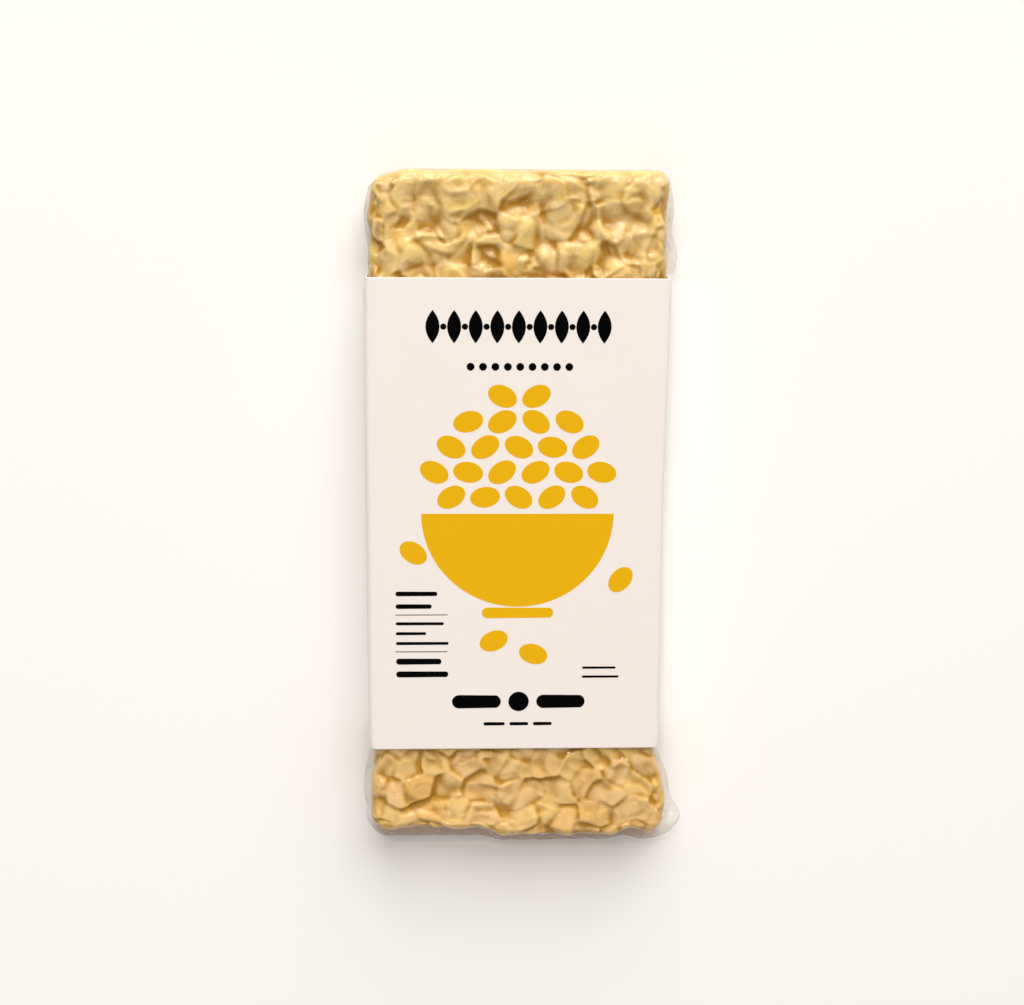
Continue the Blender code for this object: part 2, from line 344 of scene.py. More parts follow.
def wobble(points):
    """Small shifts that vary smoothly over a few millimetres and make regular shapes irregular."""
    dice = random.Random(5)
    shifts = np.zeros_like(points)
    for _ in range(WOBBLE_WAVES):
        across = np.array([dice.gauss(0, 1) for _ in range(3)])
        across *= 2 * math.pi / (dice.uniform(*WOBBLE_LENGTHS) * MM) / np.linalg.norm(across)
        push = np.array([dice.uniform(-WOBBLE_PUSH, WOBBLE_PUSH) for _ in range(3)]) * MM
        shifts += np.sin(points @ across + dice.uniform(0, FULL_TURN))[:, None] * push
    return shifts


def relief_of(points, normals, beans, core_depth):
    """Height of the bean relief over the envelope at each point, at most 0, and its bean's tone."""
    depth = core_depth.copy()
    tone = np.ones(len(points))
    for bean in beans:
        near = np.flatnonzero(np.linalg.norm(points - bean.centre, axis=1) < 2 * bean.radii[0])
        if near.size:
            found = depth_to_bean(points[near], normals[near], bean)
            nearer = found < depth[near]
            depth[near[nearer]] = found[nearer]
            tone[near[nearer]] = bean.tone
    return -np.maximum(depth, 0), tone


TENTS_AT_HEAD = 0.45
TENTS_AT_FOOT = 0.12
SHORTEST_TENT = 4.5 * MM
LONGEST_TENT = 9 * MM
TENT_REACH = 8 * MM
GENTLE_SLOPES = (0.5, 1.0)
STEEP_SLOPES = (0.8, 2.0)
TENT_DEPTH = 0.3  # millimetres
TENT_SAGS = (0.2, 1.2)  # millimetres


def add_tents(heights, points, beans, dice):
    """Raises creased ridges, each with two sloping sides, from the top of one bean to another's."""
    raised = heights.copy()
    tops = np.array([bean.top for bean in beans])
    for top in tops:
        if dice.random() > (TENTS_AT_HEAD if top[1] > 0 else TENTS_AT_FOOT):
            continue
        gaps = np.linalg.norm(tops - top, axis=1)
        near = np.flatnonzero((gaps > SHORTEST_TENT) & (gaps < LONGEST_TENT))
        if not near.size:
            continue
        other = tops[dice.choice(list(near))]
        run = other - top
        close = np.flatnonzero(np.linalg.norm(points - (top + other) / 2, axis=1) < TENT_REACH)
        offset = points[close] - top
        along = np.clip(offset @ run / (run @ run), 0, 1)
        across = offset - along[:, None] * run
        gentle, steep = dice.uniform(*GENTLE_SLOPES), dice.uniform(*STEEP_SLOPES)
        slope = np.where(across[:, 1] > 0, gentle, steep)
        crest = -(TENT_DEPTH + dice.uniform(*TENT_SAGS) * 4 * along * (1 - along)) * MM
        tent = crest - slope * np.linalg.norm(across, axis=1)
        raised[close] = np.maximum(raised[close], tent)
    return raised


PLEAT_MARGIN = 2 * MM
PLEAT_LEAN = 1.2  # these four in millimetres
PLEAT_LENGTHS = (3, 7)
PLEAT_DEPTH = 0.1
PLEAT_FALLS = (1.0, 2.2)
PLEAT_REACH = 6 * MM
PLEAT_SLOPES = (1.2, 2.6)
PLEAT_GAPS = (1.3, 2.0, 3.5, 6.0, 9.0)  # millimetres


def add_pleats(heights, points, dice):
    """Raises narrow pleats of pressed film that run out from under both edges of the sleeve."""
    raised = heights.copy()
    for side in (1, -1):
        for front in (1, -1):
            x = cake_low.x + PLEAT_MARGIN
            while x < cake_high.x - PLEAT_MARGIN:
                z = cake_high.z if front > 0 else cake_low.z
                root = np.array([x, side * relief_from, z])
                lean = dice.uniform(-PLEAT_LEAN, PLEAT_LEAN)
                run = np.array([lean, side * dice.uniform(*PLEAT_LENGTHS), 0]) * MM
                middle_gap = np.linalg.norm(points - root - run / 2, axis=1)
                close = np.flatnonzero(middle_gap < PLEAT_REACH)
                offset = points[close] - root
                along = np.clip(offset @ run / (run @ run), 0, 1)
                off = np.linalg.norm(offset - along[:, None] * run, axis=1)
                crest = -(PLEAT_DEPTH + dice.uniform(*PLEAT_FALLS) * along) * MM
                pleat = crest - dice.uniform(*PLEAT_SLOPES) * off
                raised[close] = np.maximum(raised[close], pleat)
                x += dice.choice(PLEAT_GAPS) * MM
    return raised


FACET_PITCH = 6.5 * MM
FACET_JITTER = 2.5 * MM
FACET_TILT = 0.17
FACET_STEP = 0.8 * MM


def facets(points, dice):
    """Cells round scattered places: how far in a point lies, its cell's height, kind and tone."""
    places = []
    for low, high in bean_patches():
        places += list(scatter(dice, low, high, FACET_PITCH, FACET_JITTER))
    nearest = np.full(len(points), np.inf)
    second, height, kind, tone = nearest.copy(), *np.zeros((3, len(points)))
    for place in places:
        gap = np.linalg.norm(points - place, axis=1)
        closer = gap < nearest
        slope = [dice.uniform(-FACET_TILT, FACET_TILT) for _ in range(3)]
        height[closer] = (points[closer] - place) @ slope - dice.uniform(0, FACET_STEP)
        kind[closer] = dice.random()
        tone[closer] = dice.random()
        second = np.minimum(second, np.maximum(gap, nearest))
        nearest = np.minimum(nearest, gap)
    return second - nearest, height, kind, tone


def settle(heights, edges, sag, rounds):
    """A skin drawn tight over a relief: at each round it spans a little further across the dips."""
    skin = heights.copy()
    a, b = edges.T
    count = np.bincount(edges.ravel(), minlength=len(heights))
    for _ in range(rounds):
        total = np.bincount(a, skin[b], len(skin)) + np.bincount(b, skin[a], len(skin))
        skin = np.maximum(heights, total / count - sag)
    return skin


def averaged_edge_length(points, edges):
    """How long the edges at each point are on average."""
    a, b = edges.T
    lengths = np.linalg.norm(points[a] - points[b], axis=1)
    total = np.bincount(a, lengths, len(points)) + np.bincount(b, lengths, len(points))
    return total / np.bincount(edges.ravel(), minlength=len(points))


def averaged(values, edges, rounds):
    """Values evened out with their neighbours."""
    a, b = edges.T
    count = np.bincount(edges.ravel(), minlength=len(values))
    for _ in range(rounds):
        total = np.bincount(a, values[b], len(values)) + np.bincount(b, values[a], len(values))
        values = (values + total) / (1 + count)
    return values


def finish_mesh(name, shape, places, material, attributes):
    """Makes the piece from a bmesh whose vertices move to places, with values for its material."""
    mesh = bpy.data.meshes.new(name)
    shape.to_mesh(mesh)
    shape.free()
    mesh.vertices.foreach_set("co", np.asarray(places, dtype=np.float32).ravel())
    for label, values in attributes.items():
        attribute = mesh.attributes.new(label, "FLOAT", "POINT")
        attribute.data.foreach_set("value", values.astype(np.float32))
    mesh.materials.append(material)
    mesh.shade_smooth()
    mesh.update()
    piece = bpy.data.objects.new(name, mesh)
    bpy.context.scene.collection.objects.link(piece)
    return piece


cake_shape = gridded_slab(cake_low, cake_high, CELL, relief_from)
cake_block = np.array([vert.co for vert in cake_shape.verts])
cake_edges = np.array([[vert.index for vert in edge.verts] for edge in cake_shape.edges])
surface, surface_normals = rounded(cake_block)
at_head = surface[:, 1] > 0
cell_area = averaged_edge_length(surface, cake_edges) ** 2

# The beans, pressed under the skin, with its ridges and pleats.

CORE_DEPTH = 2.6 * MM
BEAN_SAG = 0.07 / MM
BEAN_ROUNDS = 14
RIDGE_SAG = 0.15 / MM
RIDGE_ROUNDS = 3

beans = bean_bed()
wobbled = surface + wobble(surface)
core_depth = np.full(len(surface), CORE_DEPTH)
bean_relief, bean_tone = relief_of(wobbled, surface_normals, beans, core_depth)
bean_relief = averaged(bean_relief, cake_edges, 1)
pressed_relief = settle(bean_relief, cake_edges, BEAN_SAG * cell_area, BEAN_ROUNDS)
ridged_relief = add_tents(pressed_relief, wobbled, beans, random.Random(11))
ridged_relief = add_pleats(ridged_relief, wobbled, random.Random(3))
ridged_relief = averaged(ridged_relief, cake_edges, 1)
ridged_relief = settle(ridged_relief, cake_edges, RIDGE_SAG * cell_area, RIDGE_ROUNDS)

# The facets over them: domed or pinched at the head, flat and parted by clefts at the foot.

DOMED_SHARE = 0.45
SHOULDER_DEPTH = 0.4 * MM
SHOULDER_WIDTH = 2.2 * MM
PINCH_SLOPE = 0.13
CLEFT_DEPTH = 0.25 * MM
CLEFT_WIDTH = 1.2 * MM
FACET_SOFTENING = 3
FACETS_AT_HEAD = 0.7
RIDGES_AT_HEAD = 0.78
RIDGES_AT_FOOT = 0.6

inset, facet_height, facet_kind, facet_tone = facets(wobbled, random.Random(21))
shoulder = SHOULDER_DEPTH * np.clip(1 - inset / SHOULDER_WIDTH, 0, 1) ** 2
domed_or_pinched = np.where(facet_kind < DOMED_SHARE, shoulder, PINCH_SLOPE * inset)
head_facets = FACETS_AT_HEAD * facet_height - domed_or_pinched
head_relief = RIDGES_AT_HEAD * ridged_relief + averaged(head_facets, cake_edges, FACET_SOFTENING)
cleft = CLEFT_DEPTH * np.clip(1 - inset / CLEFT_WIDTH, 0, 1) ** 2
foot_facets = averaged(facet_height - cleft, cake_edges, FACET_SOFTENING)
foot_relief = RIDGES_AT_FOOT * ridged_relief + foot_facets
skin_relief = np.minimum(np.where(at_head, head_relief, foot_relief), 0)

# How strong the relief is: strongest on the front, weaker on the sides and at the head's tip.

SIDE_SHARE = 0.45
FRONT_GAIN = 0.55
HEAD_STRENGTH = 1.05
FOOT_STRENGTH = 0.85
TIP_FADE = 0.5
TIP_FADE_FROM = 79 * MM
TIP_FADE_RUN = 4 * MM
MOUTH_RUN = 0.5 * MM

strength = SIDE_SHARE + FRONT_GAIN * np.abs(surface_normals[:, 2])
strength *= np.where(at_head, HEAD_STRENGTH, FOOT_STRENGTH)
strength *= 1 - TIP_FADE * np.clip((surface[:, 1] - TIP_FADE_FROM) / TIP_FADE_RUN, 0, 1)
bare = np.clip((np.abs(surface[:, 1]) - relief_from) / MOUTH_RUN, 0, 1)
cake_relief = skin_relief * bare * strength - FILM_LIFT
cake_places = outline(surface + surface_normals * cake_relief[:, None])

# Where the skin is deep between its neighbours a darker brown is mixed in, a painted shade for the
# hollows that is stronger at the foot. Each bean has its own tone. The tones of the foot take up
# the lower half of the range and those of the head the upper half.

WIDE_ROUNDS = 36
NARROW_ROUNDS = 6
NARROW_WEIGHT = 1.5
CREVICE_SOFTENING = 3
FOOT_CREVICE_GAIN = 0.3
FOOT_TIP_SHADE = 0.08 * MM

wide_dips = settle(skin_relief, cake_edges, 0.0, WIDE_ROUNDS) - skin_relief
narrow_dips = settle(skin_relief, cake_edges, 0.0, NARROW_ROUNDS) - skin_relief
dips = wide_dips + NARROW_WEIGHT * narrow_dips
crevice_shade = averaged(dips, cake_edges, CREVICE_SOFTENING) * strength
# Painted shade: the foot's end, which faces away from the head lamp, gets more of the dark brown.
foot_tip_shade = FOOT_TIP_SHADE * np.clip(-surface_normals[:, 1], 0, 1)
crevice_shade += np.where(at_head, 0, FOOT_CREVICE_GAIN * crevice_shade + foot_tip_shade)
soft_tone = averaged(np.where(at_head, bean_tone, facet_tone), cake_edges, FACET_SOFTENING)
half_tone = 0.5 * soft_tone + 0.5 * at_head

tempeh = bpy.data.materials.new("tempeh")
tempeh.use_nodes = True
nodes, links = tempeh.node_tree.nodes, tempeh.node_tree.links
shader = nodes["Principled BSDF"]
tone_value = nodes.new("ShaderNodeAttribute")
tone_value.attribute_name = "bean_tone"
tone_ramp = nodes.new("ShaderNodeValToRGB")
tone_ramp.color_ramp.elements[0].color = (0.77, 0.42, 0.07, 1)
tone_ramp.color_ramp.elements[1].color = (0.86, 0.625, 0.3, 1)
for position, colour in (
    (0.02, (0.81, 0.49, 0.13, 1)),
    (0.15, (0.84, 0.555, 0.225, 1)),
    (0.32, (0.84, 0.57, 0.19, 1)),
    (0.49, (0.85, 0.56, 0.24, 1)),
    (0.51, (0.80, 0.49, 0.10, 1)),
    (0.54, (0.83, 0.57, 0.16, 1)),
    (0.68, (0.84, 0.605, 0.27, 1)),
    (0.82, (0.85, 0.63, 0.2, 1)),
):
    tone_ramp.color_ramp.elements.new(position).color = colour
links.new(tone_value.outputs["Fac"], tone_ramp.inputs["Fac"])
# Painted shade: the value of the hollows mixes a dark brown into the bean colour.
crevice_value = nodes.new("ShaderNodeAttribute")
crevice_value.attribute_name = "crevice_shade"
crevice_depth = nodes.new("ShaderNodeMapRange")
crevice_depth.inputs["From Max"].default_value = 0.46 * MM
links.new(crevice_value.outputs["Fac"], crevice_depth.inputs["Value"])
painted_crevice_shade = nodes.new("ShaderNodeMix")
painted_crevice_shade.data_type = "RGBA"
painted_crevice_shade.inputs["B"].default_value = (0.5, 0.24, 0.002, 1)
links.new(crevice_depth.outputs["Result"], painted_crevice_shade.inputs["Factor"])
links.new(tone_ramp.outputs["Color"], painted_crevice_shade.inputs["A"])
links.new(painted_crevice_shade.outputs["Result"], shader.inputs["Base Color"])
shader.inputs["Roughness"].default_value = 0.55
shader.inputs["Specular IOR Level"].default_value = 0.45
shader.inputs["Subsurface Weight"].default_value = 0.3
shader.inputs["Subsurface Radius"].default_value = (1.0, 0.5, 0.15)
shader.inputs["Subsurface Scale"].default_value = 0.6 * MM

film_shape = cake_shape.copy()
cake_values = {"bean_tone": half_tone, "crevice_shade": crevice_shade}
cake = finish_mesh("tempeh_cake", cake_shape, cake_places, tempeh, cake_values)
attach(cake, "root")
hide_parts("vacuum_pack")

# --- Film on the cake ------------------------------------------------------------------------
# Clear nylon and polythene film, drawn so tight by the vacuum that it follows every bean. It
# spans the creases between them and is pinched into fine bright wrinkles.

FILM_OFF_CAKE = 0.7
FILM_IN_SLEEVE = 0.02 * MM
FILM_SAG = 0.05 / MM
FILM_ROUNDS = 12
FILM_IOR = 1.42

film_relief = np.where(bare > 0, cake_relief + FILM_LIFT * FILM_OFF_CAKE, -FILM_IN_SLEEVE)
film_relief = settle(film_relief, cake_edges, FILM_SAG * cell_area, FILM_ROUNDS)
film_places = outline(surface + surface_normals * np.minimum(film_relief, 0)[:, None])

wrinkles = bpy.data.node_groups.new("film_wrinkles", "ShaderNodeTree")
wrinkles.interface.new_socket("Height", in_out="INPUT", socket_type="NodeSocketFloat")
wrinkles.interface.new_socket("Normal", in_out="OUTPUT", socket_type="NodeSocketVector")
nodes, links = wrinkles.nodes, wrinkles.links
given, result = nodes.new("NodeGroupInput"), nodes.new("NodeGroupOutput")
place = nodes.new("ShaderNodeTexCoord")
drift = nodes.new("ShaderNodeTexNoise")
drift.inputs["Scale"].default_value = 160
drift.inputs["Detail"].default_value = 2
links.new(place.outputs["Object"], drift.inputs["Vector"])
bent = nodes.new("ShaderNodeVectorMath")
bent.operation = "MULTIPLY_ADD"
bent.inputs[1].default_value = (0.006, 0.006, 0.006)
links.new(drift.outputs["Color"], bent.inputs[0])
links.new(place.outputs["Object"], bent.inputs[2])
creases = nodes.new("ShaderNodeTexVoronoi")
creases.feature = "DISTANCE_TO_EDGE"
creases.inputs["Scale"].default_value = 230
links.new(bent.outputs["Vector"], creases.inputs["Vector"])
crest = nodes.new("ShaderNodeMapRange")
crest.interpolation_type = "SMOOTHSTEP"
crest.inputs["From Max"].default_value = 0.11
crest.inputs["To Min"].default_value = 1
crest.inputs["To Max"].default_value = 0
links.new(creases.outputs["Distance"], crest.inputs["Value"])
patchy = nodes.new("ShaderNodeMapRange")
patchy.inputs["From Min"].default_value = 0.43
patchy.inputs["From Max"].default_value = 0.55
links.new(drift.outputs["Fac"], patchy.inputs["Value"])
kept = nodes.new("ShaderNodeMath")
kept.operation = "MULTIPLY"
links.new(crest.outputs["Result"], kept.inputs[0])
links.new(patchy.outputs["Result"], kept.inputs[1])
ripple = nodes.new("ShaderNodeTexNoise")
ripple.inputs["Scale"].default_value = 900
ripple.inputs["Detail"].default_value = 1
links.new(place.outputs["Object"], ripple.inputs["Vector"])
rippled = nodes.new("ShaderNodeMath")
rippled.operation = "MULTIPLY_ADD"
rippled.inputs[1].default_value = 0.12
links.new(ripple.outputs["Fac"], rippled.inputs[0])
links.new(kept.outputs["Value"], rippled.inputs[2])
raised = nodes.new("ShaderNodeBump")
links.new(given.outputs["Height"], raised.inputs["Distance"])
links.new(rippled.outputs["Value"], raised.inputs["Height"])
links.new(raised.outputs["Normal"], result.inputs["Normal"])


def film_material(name, tint, haze, gathered_haze, roughness, wrinkle_height):
    """Clear film that lets through its tint under a milky haze, thicker where it is gathered."""
    material = bpy.data.materials.new(name)
    material.use_nodes = True
    nodes, links = material.node_tree.nodes, material.node_tree.links
    nodes.remove(nodes["Principled BSDF"])
    gathered = nodes.new("ShaderNodeAttribute")
    gathered.attribute_name = "gathered"
    haziness = nodes.new("ShaderNodeMapRange")
    haziness.inputs["To Min"].default_value = haze
    haziness.inputs["To Max"].default_value = gathered_haze
    links.new(gathered.outputs["Fac"], haziness.inputs["Value"])
    through = nodes.new("ShaderNodeBsdfTransparent")
    through.inputs["Color"].default_value = (*tint, 1)
    wrinkled = nodes.new("ShaderNodeGroup")
    wrinkled.node_tree = wrinkles
    wrinkled.inputs["Height"].default_value = wrinkle_height
    gloss = nodes.new("ShaderNodeBsdfGlossy")
    gloss.inputs["Roughness"].default_value = roughness
    links.new(wrinkled.outputs["Normal"], gloss.inputs["Normal"])
    facing_in = nodes.new("ShaderNodeNewGeometry")
    thin_ior = nodes.new("ShaderNodeMapRange")  # a thin film mirrors alike from both sides
    thin_ior.inputs["To Min"].default_value = FILM_IOR
    thin_ior.inputs["To Max"].default_value = 1 / FILM_IOR
    links.new(facing_in.outputs["Backfacing"], thin_ior.inputs["Value"])
    mirrored = nodes.new("ShaderNodeFresnel")
    links.new(thin_ior.outputs["Result"], mirrored.inputs["IOR"])
    links.new(wrinkled.outputs["Normal"], mirrored.inputs["Normal"])
    # Where the film is gathered the haze turns brown: partly the layers of gathered film, partly a
    # painted shade for the shaded foot and the cake seen through it.
    haze_and_shade = nodes.new("ShaderNodeMix")
    haze_and_shade.data_type = "RGBA"
    haze_and_shade.inputs["A"].default_value = (0.97, 0.92, 0.885, 1)
    haze_and_shade.inputs["B"].default_value = (0.52, 0.34, 0.25, 1)
    links.new(gathered.outputs["Fac"], haze_and_shade.inputs["Factor"])
    milky = nodes.new("ShaderNodeBsdfDiffuse")
    links.new(haze_and_shade.outputs["Result"], milky.inputs["Color"])
    hazed = nodes.new("ShaderNodeMixShader")
    links.new(haziness.outputs["Result"], hazed.inputs["Fac"])
    links.new(through.outputs["BSDF"], hazed.inputs[1])
    links.new(milky.outputs["BSDF"], hazed.inputs[2])
    both = nodes.new("ShaderNodeMixShader")
    links.new(mirrored.outputs["Fac"], both.inputs["Fac"])
    links.new(hazed.outputs["Shader"], both.inputs[1])
    links.new(gloss.outputs["BSDF"], both.inputs[2])
    links.new(both.outputs["Shader"], nodes["Material Output"].inputs["Surface"])
    return material


clear_film = film_material(
    "clear_film",
    tint=(0.985, 0.98, 0.97),
    haze=0.0,
    gathered_haze=0.0,
    roughness=0.07,
    wrinkle_height=0.3 * MM,
)
film = finish_mesh("film_pouch", film_shape, film_places, clear_film, {})
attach(film, "root")
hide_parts("vacuum_pack")

# --- Film edges ------------------------------------------------------------------------------
# Past the cake the pouch's two webs are sealed to one another. At each end this margin stands out
# in creased ears, is gathered at the foot and turns under the cake.

FILM_EARS = (  # side, then middle along the pack, half length and reach in millimetres
    (1, 65, 7, 3.0), (1, 76, 12, 1.8), (-1, 76, 14, 1.0),
    (1, -72, 14, 1.5), (1, -86, 11.5, 7.3), (-1, -72, 20, 1.9), (-1, -87, 7, 2.4),
)
FLAP = (  # shares of the reach, and heights in millimetres
    (-0.9, 12.0), (-0.2, 10.6), (0.55, 9.4), (1.0, 8.4), (0.8, 7.0), (0.35, 5.4), (0.05, 4.0),
)
TURNED_UNDER = ((-0.45, 2.6), (-1.4, 1.4), (-2.3, 0.9), (-3.2, 0.8))  # both in millimetres
FLAP_RUNGS = 45
EDGE_STEP = 0.35 * MM
MID_HEIGHT = 9 * MM
FREE_RUN = 1.2 * MM
RIPPLE_SHARE = 0.06
TUCK = 0.9 * MM
TUCK_UNDER = 0.5 * MM
LOOSE_AT = (0, 1.5, 3, 5, 8)  # places along the section, counted in its points
LOOSENESS = (0, 0.8, 0.12, 0.5, 0)
CREASE_MIDDLE = 0.6
CREASE_HEIGHT = 1.1
MOUTH_MIDDLE = 61.5 * MM
MOUTH_REACH = 4 * MM
HUNG_PAST = 0.9 * MM
HUNG_LEAN = 1.8
CRUMPLE_WAVES = 5
HALF_TURN = 3.1  # radians


def film_reach(points, normals):
    """How far the film's margin stands out past the cake."""
    x, y, _ = points.T
    sides = np.zeros(len(points))
    for side, middle, half_length, reach in FILM_EARS:
        sides += reach * MM * bump(y, middle * MM, half_length * MM) * (np.sign(x) == side)
    foot = FILM_FOOT * (y < 0)
    return sides * normals[:, 0] ** 2 + foot * normals[:, 1] ** 2


def crumple(places, dice, shortest, longest):
    """A creased pattern of heights between 0 and 1 over places, from folded waves."""
    total = np.zeros(len(places))
    for _ in range(CRUMPLE_WAVES):
        across = np.array([dice.gauss(0, 1) for _ in range(places.shape[1])])
        across *= math.pi / (dice.uniform(shortest, longest) * np.linalg.norm(across))
        total += np.abs(np.sin(places @ across + dice.uniform(0, HALF_TURN)))
    return total / CRUMPLE_WAVES


def walk_round(end):
    """Points on the plain block round one end at mid height, from the sleeve back to the sleeve."""
    tip = cake_high.y if end > 0 else cake_low.y
    root = end * relief_from
    corners = ((cake_low.x, root), (cake_low.x, tip), (cake_high.x, tip), (cake_high.x, root))
    walk = []
    for (x0, y0), (x1, y1) in zip(corners, corners[1:]):
        steps = round(math.hypot(x1 - x0, y1 - y0) / EDGE_STEP)
        for i in range(steps):
            walk.append((x0 + (x1 - x0) * i / steps, y0 + (y1 - y0) * i / steps, MID_HEIGHT))
    return np.array(walk)


film_edge = film_material(
    "film_edge",
    tint=(0.985, 0.975, 0.965),
    haze=0.2,
    gathered_haze=0.4,
    roughness=0.12,
    wrinkle_height=0.14 * MM,
)
for end, name in ((1, "film_edge_head"), (-1, "film_edge_foot")):
    dice = random.Random(40 + end)
    rim, rim_normals = rounded(walk_round(end))
    reach = film_reach(rim, rim_normals)
    free = np.clip((np.abs(rim[:, 1]) - sleeve_high.y) / FREE_RUN, 0, 1)
    rippled = RIPPLE_SHARE * crumple(rim[:, :2], dice, 9 * MM, 25 * MM)
    reach = reach * free * (1 - RIPPLE_SHARE + rippled)
    section = [(out, 0, height) for out, height in FLAP]
    section += [(0, out, height) for out, height in TURNED_UNDER]
    rungs = np.linspace(0, len(section) - 1, FLAP_RUNGS)
    out, under, height = [np.interp(rungs, range(len(section)), values) for values in zip(*section)]
    tucked = TUCK * np.clip(1 - reach / TUCK_UNDER, 0, 1)
    offset = np.where(out > 0, np.outer(reach, out) - tucked[:, None], out * MM) + under * MM
    flap = np.repeat(rim, FLAP_RUNGS, axis=0)
    flap_normals = np.repeat(rim_normals, FLAP_RUNGS, axis=0)
    flap += flap_normals * offset.reshape(-1, 1)
    flap[:, 2] = np.tile(height, len(rim)) * MM
    looseness = np.outer(reach, np.interp(rungs, LOOSE_AT, LOOSENESS)).ravel()
    creased = crumple(flap, dice, 1.5 * MM, 6 * MM) - CREASE_MIDDLE
    flap[:, 2] += creased * looseness * CREASE_HEIGHT
    past = np.clip(offset.ravel() - HUNG_PAST, 0, None)
    flap[:, 1] -= HUNG_LEAN * past * bump(flap[:, 1], MOUTH_MIDDLE, MOUTH_REACH)
    strip = bmesh.new()
    bmesh.ops.create_grid(strip, x_segments=len(rim) - 1, y_segments=FLAP_RUNGS - 1, size=1)
    order = np.arange(len(flap)).reshape(len(rim), -1).T.ravel()
    # gathered marks the foot's margin, which the film material makes hazier and, as painted shade,
    # browner.
    gathered = np.where(end < 0, flap_normals[:, 1] ** 2, 0)[order]
    edge = finish_mesh(name, strip, outline(flap[order]), film_edge, {"gathered": gathered})
    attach(edge, "root")
    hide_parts("vacuum_pack")

# --- Card sleeve -----------------------------------------------------------------------------
# One strip of uncoated off-white board, creased into four rounded folds round the pack and closed
# by a tab that is glued inside its back panel. The pack has drawn it in a little at the waist.

FOLD = 1.5 * MM
FOLD_STEPS = 8
GLUE_TAB = 14 * MM
INK_RISE = 0.03 * MM
UNDER_BOX = 0.01 * MM
CUT_EDGE = 0.25 * MM

sleeve_half = sleeve_high.x
front_height = sleeve_high.z - UNDER_BOX - INK_RISE
bend = FOLD - CARD / 2
tab_height = 1.5 * CARD


def run_on(strip, tip, way, length, pieces):
    """Carries the strip's cross-section on from tip along a straight panel."""
    for _ in range(pieces):
        tip = bmesh.ops.extrude_vert_indiv(strip, verts=[tip])["verts"][0]
        bmesh.ops.translate(strip, vec=Vector(way) * (length / pieces), verts=[tip])
    return tip


def fold_on(strip, tip, centre, angle):
    """Carries it on round a fold."""
    turned = bmesh.ops.spin(
        strip, geom=[tip], cent=centre, axis=(0, 1, 0), angle=math.radians(angle), steps=FOLD_STEPS
    )
    return [item for item in turned["geom_last"] if isinstance(item, bmesh.types.BMVert)][0]


strip = bmesh.new()
far = sleeve_low.y
tab_end = (-sleeve_half + FOLD + GLUE_TAB, sleeve_low.y, tab_height)
tip = bmesh.ops.create_vert(strip, co=tab_end)["vert"][0]
tip = run_on(strip, tip, (-1, 0, 0), GLUE_TAB, 4)
tip = fold_on(strip, tip, (-sleeve_half + FOLD, 0, tab_height + bend), 90)
tip = run_on(strip, tip, (0, 0, 1), front_height - FOLD - tab_height - bend, 6)
tip = fold_on(strip, tip, (-sleeve_half + FOLD, 0, front_height - FOLD), 90)
tip = run_on(strip, tip, (1, 0, 0), 2 * (sleeve_half - FOLD), 18)
tip = fold_on(strip, tip, (sleeve_half - FOLD, 0, front_height - FOLD), 90)
tip = run_on(strip, tip, (0, 0, -1), front_height - 2 * FOLD, 6)
tip = fold_on(strip, tip, (sleeve_half - FOLD, 0, FOLD), 90)
run_on(strip, tip, (-1, 0, 0), 2 * sleeve_half - FOLD - CARD, 18)
middle_run = sleeve_high.y - sleeve_low.y - 2 * CUT_EDGE
for run, pieces in ((CUT_EDGE, 1), (middle_run, 60), (CUT_EDGE, 1)):
    tips = [edge for edge in strip.edges if all(vert.co.y > far - SLIGHT for vert in edge.verts)]
    step = (0, run / pieces, 0)
    bmesh.ops.spin(
        strip, geom=tips, cent=(0, 0, 0), axis=(0, 1, 0), dvec=step, angle=0, steps=pieces
    )
    far += run
bmesh.ops.recalc_face_normals(strip, faces=strip.faces)

WAIST_AT = (5 * MM, 58 * MM)  # these three are a middle and a reach along the sleeve
SPREAD_AT = (-60 * MM, 16 * MM)
NARROW_AT = (60 * MM, 30 * MM)
PINCH_REACH = 3 * MM
WAIST_DEPTH = 0.5  # these four in millimetres
FOOT_SPREAD = 0.3
LEFT_SPREAD = 0.25
PINCH_DEPTH = 0.3


def drawn_in_sleeve(points):
    """The sleeve as it sits on the pack: waisted, spread at the foot and pinched at its mouths."""
    x, y, z = points.T
    right = FOOT_SPREAD * bump(y, *SPREAD_AT) - WAIST_DEPTH * bump(y, *WAIST_AT)
    left = LEFT_SPREAD * (1 - bump(y, *NARROW_AT))
    mouth = -PINCH_DEPTH * bump(np.abs(y), sleeve_high.y, PINCH_REACH)
    outwards = (np.where(x > 0, right, left) + mouth) * MM
    return np.column_stack([x + x / sleeve_half * outwards, y, z])


card = bpy.data.materials.new("sleeve_card")
card.use_nodes = True
nodes, links = card.node_tree.nodes, card.node_tree.links
shader = nodes["Principled BSDF"]
shader.inputs["Roughness"].default_value = 0.62
place = nodes.new("ShaderNodeTexCoord")
pulp = nodes.new("ShaderNodeTexNoise")
pulp.inputs["Scale"].default_value = 90
pulp.inputs["Detail"].default_value = 5
pulp.inputs["Roughness"].default_value = 0.65
links.new(place.outputs["Object"], pulp.inputs["Vector"])
pulp_tone = nodes.new("ShaderNodeMix")
pulp_tone.data_type = "RGBA"
pulp_tone.inputs["A"].default_value = (0.845, 0.775, 0.74, 1)
pulp_tone.inputs["B"].default_value = (0.875, 0.805, 0.77, 1)
links.new(pulp.outputs["Fac"], pulp_tone.inputs["Factor"])
links.new(pulp_tone.outputs["Result"], shader.inputs["Base Color"])
fibre = nodes.new("ShaderNodeTexNoise")
fibre.inputs["Scale"].default_value = 1800
fibre.inputs["Detail"].default_value = 3
links.new(place.outputs["Object"], fibre.inputs["Vector"])
fibre_bump = nodes.new("ShaderNodeBump")
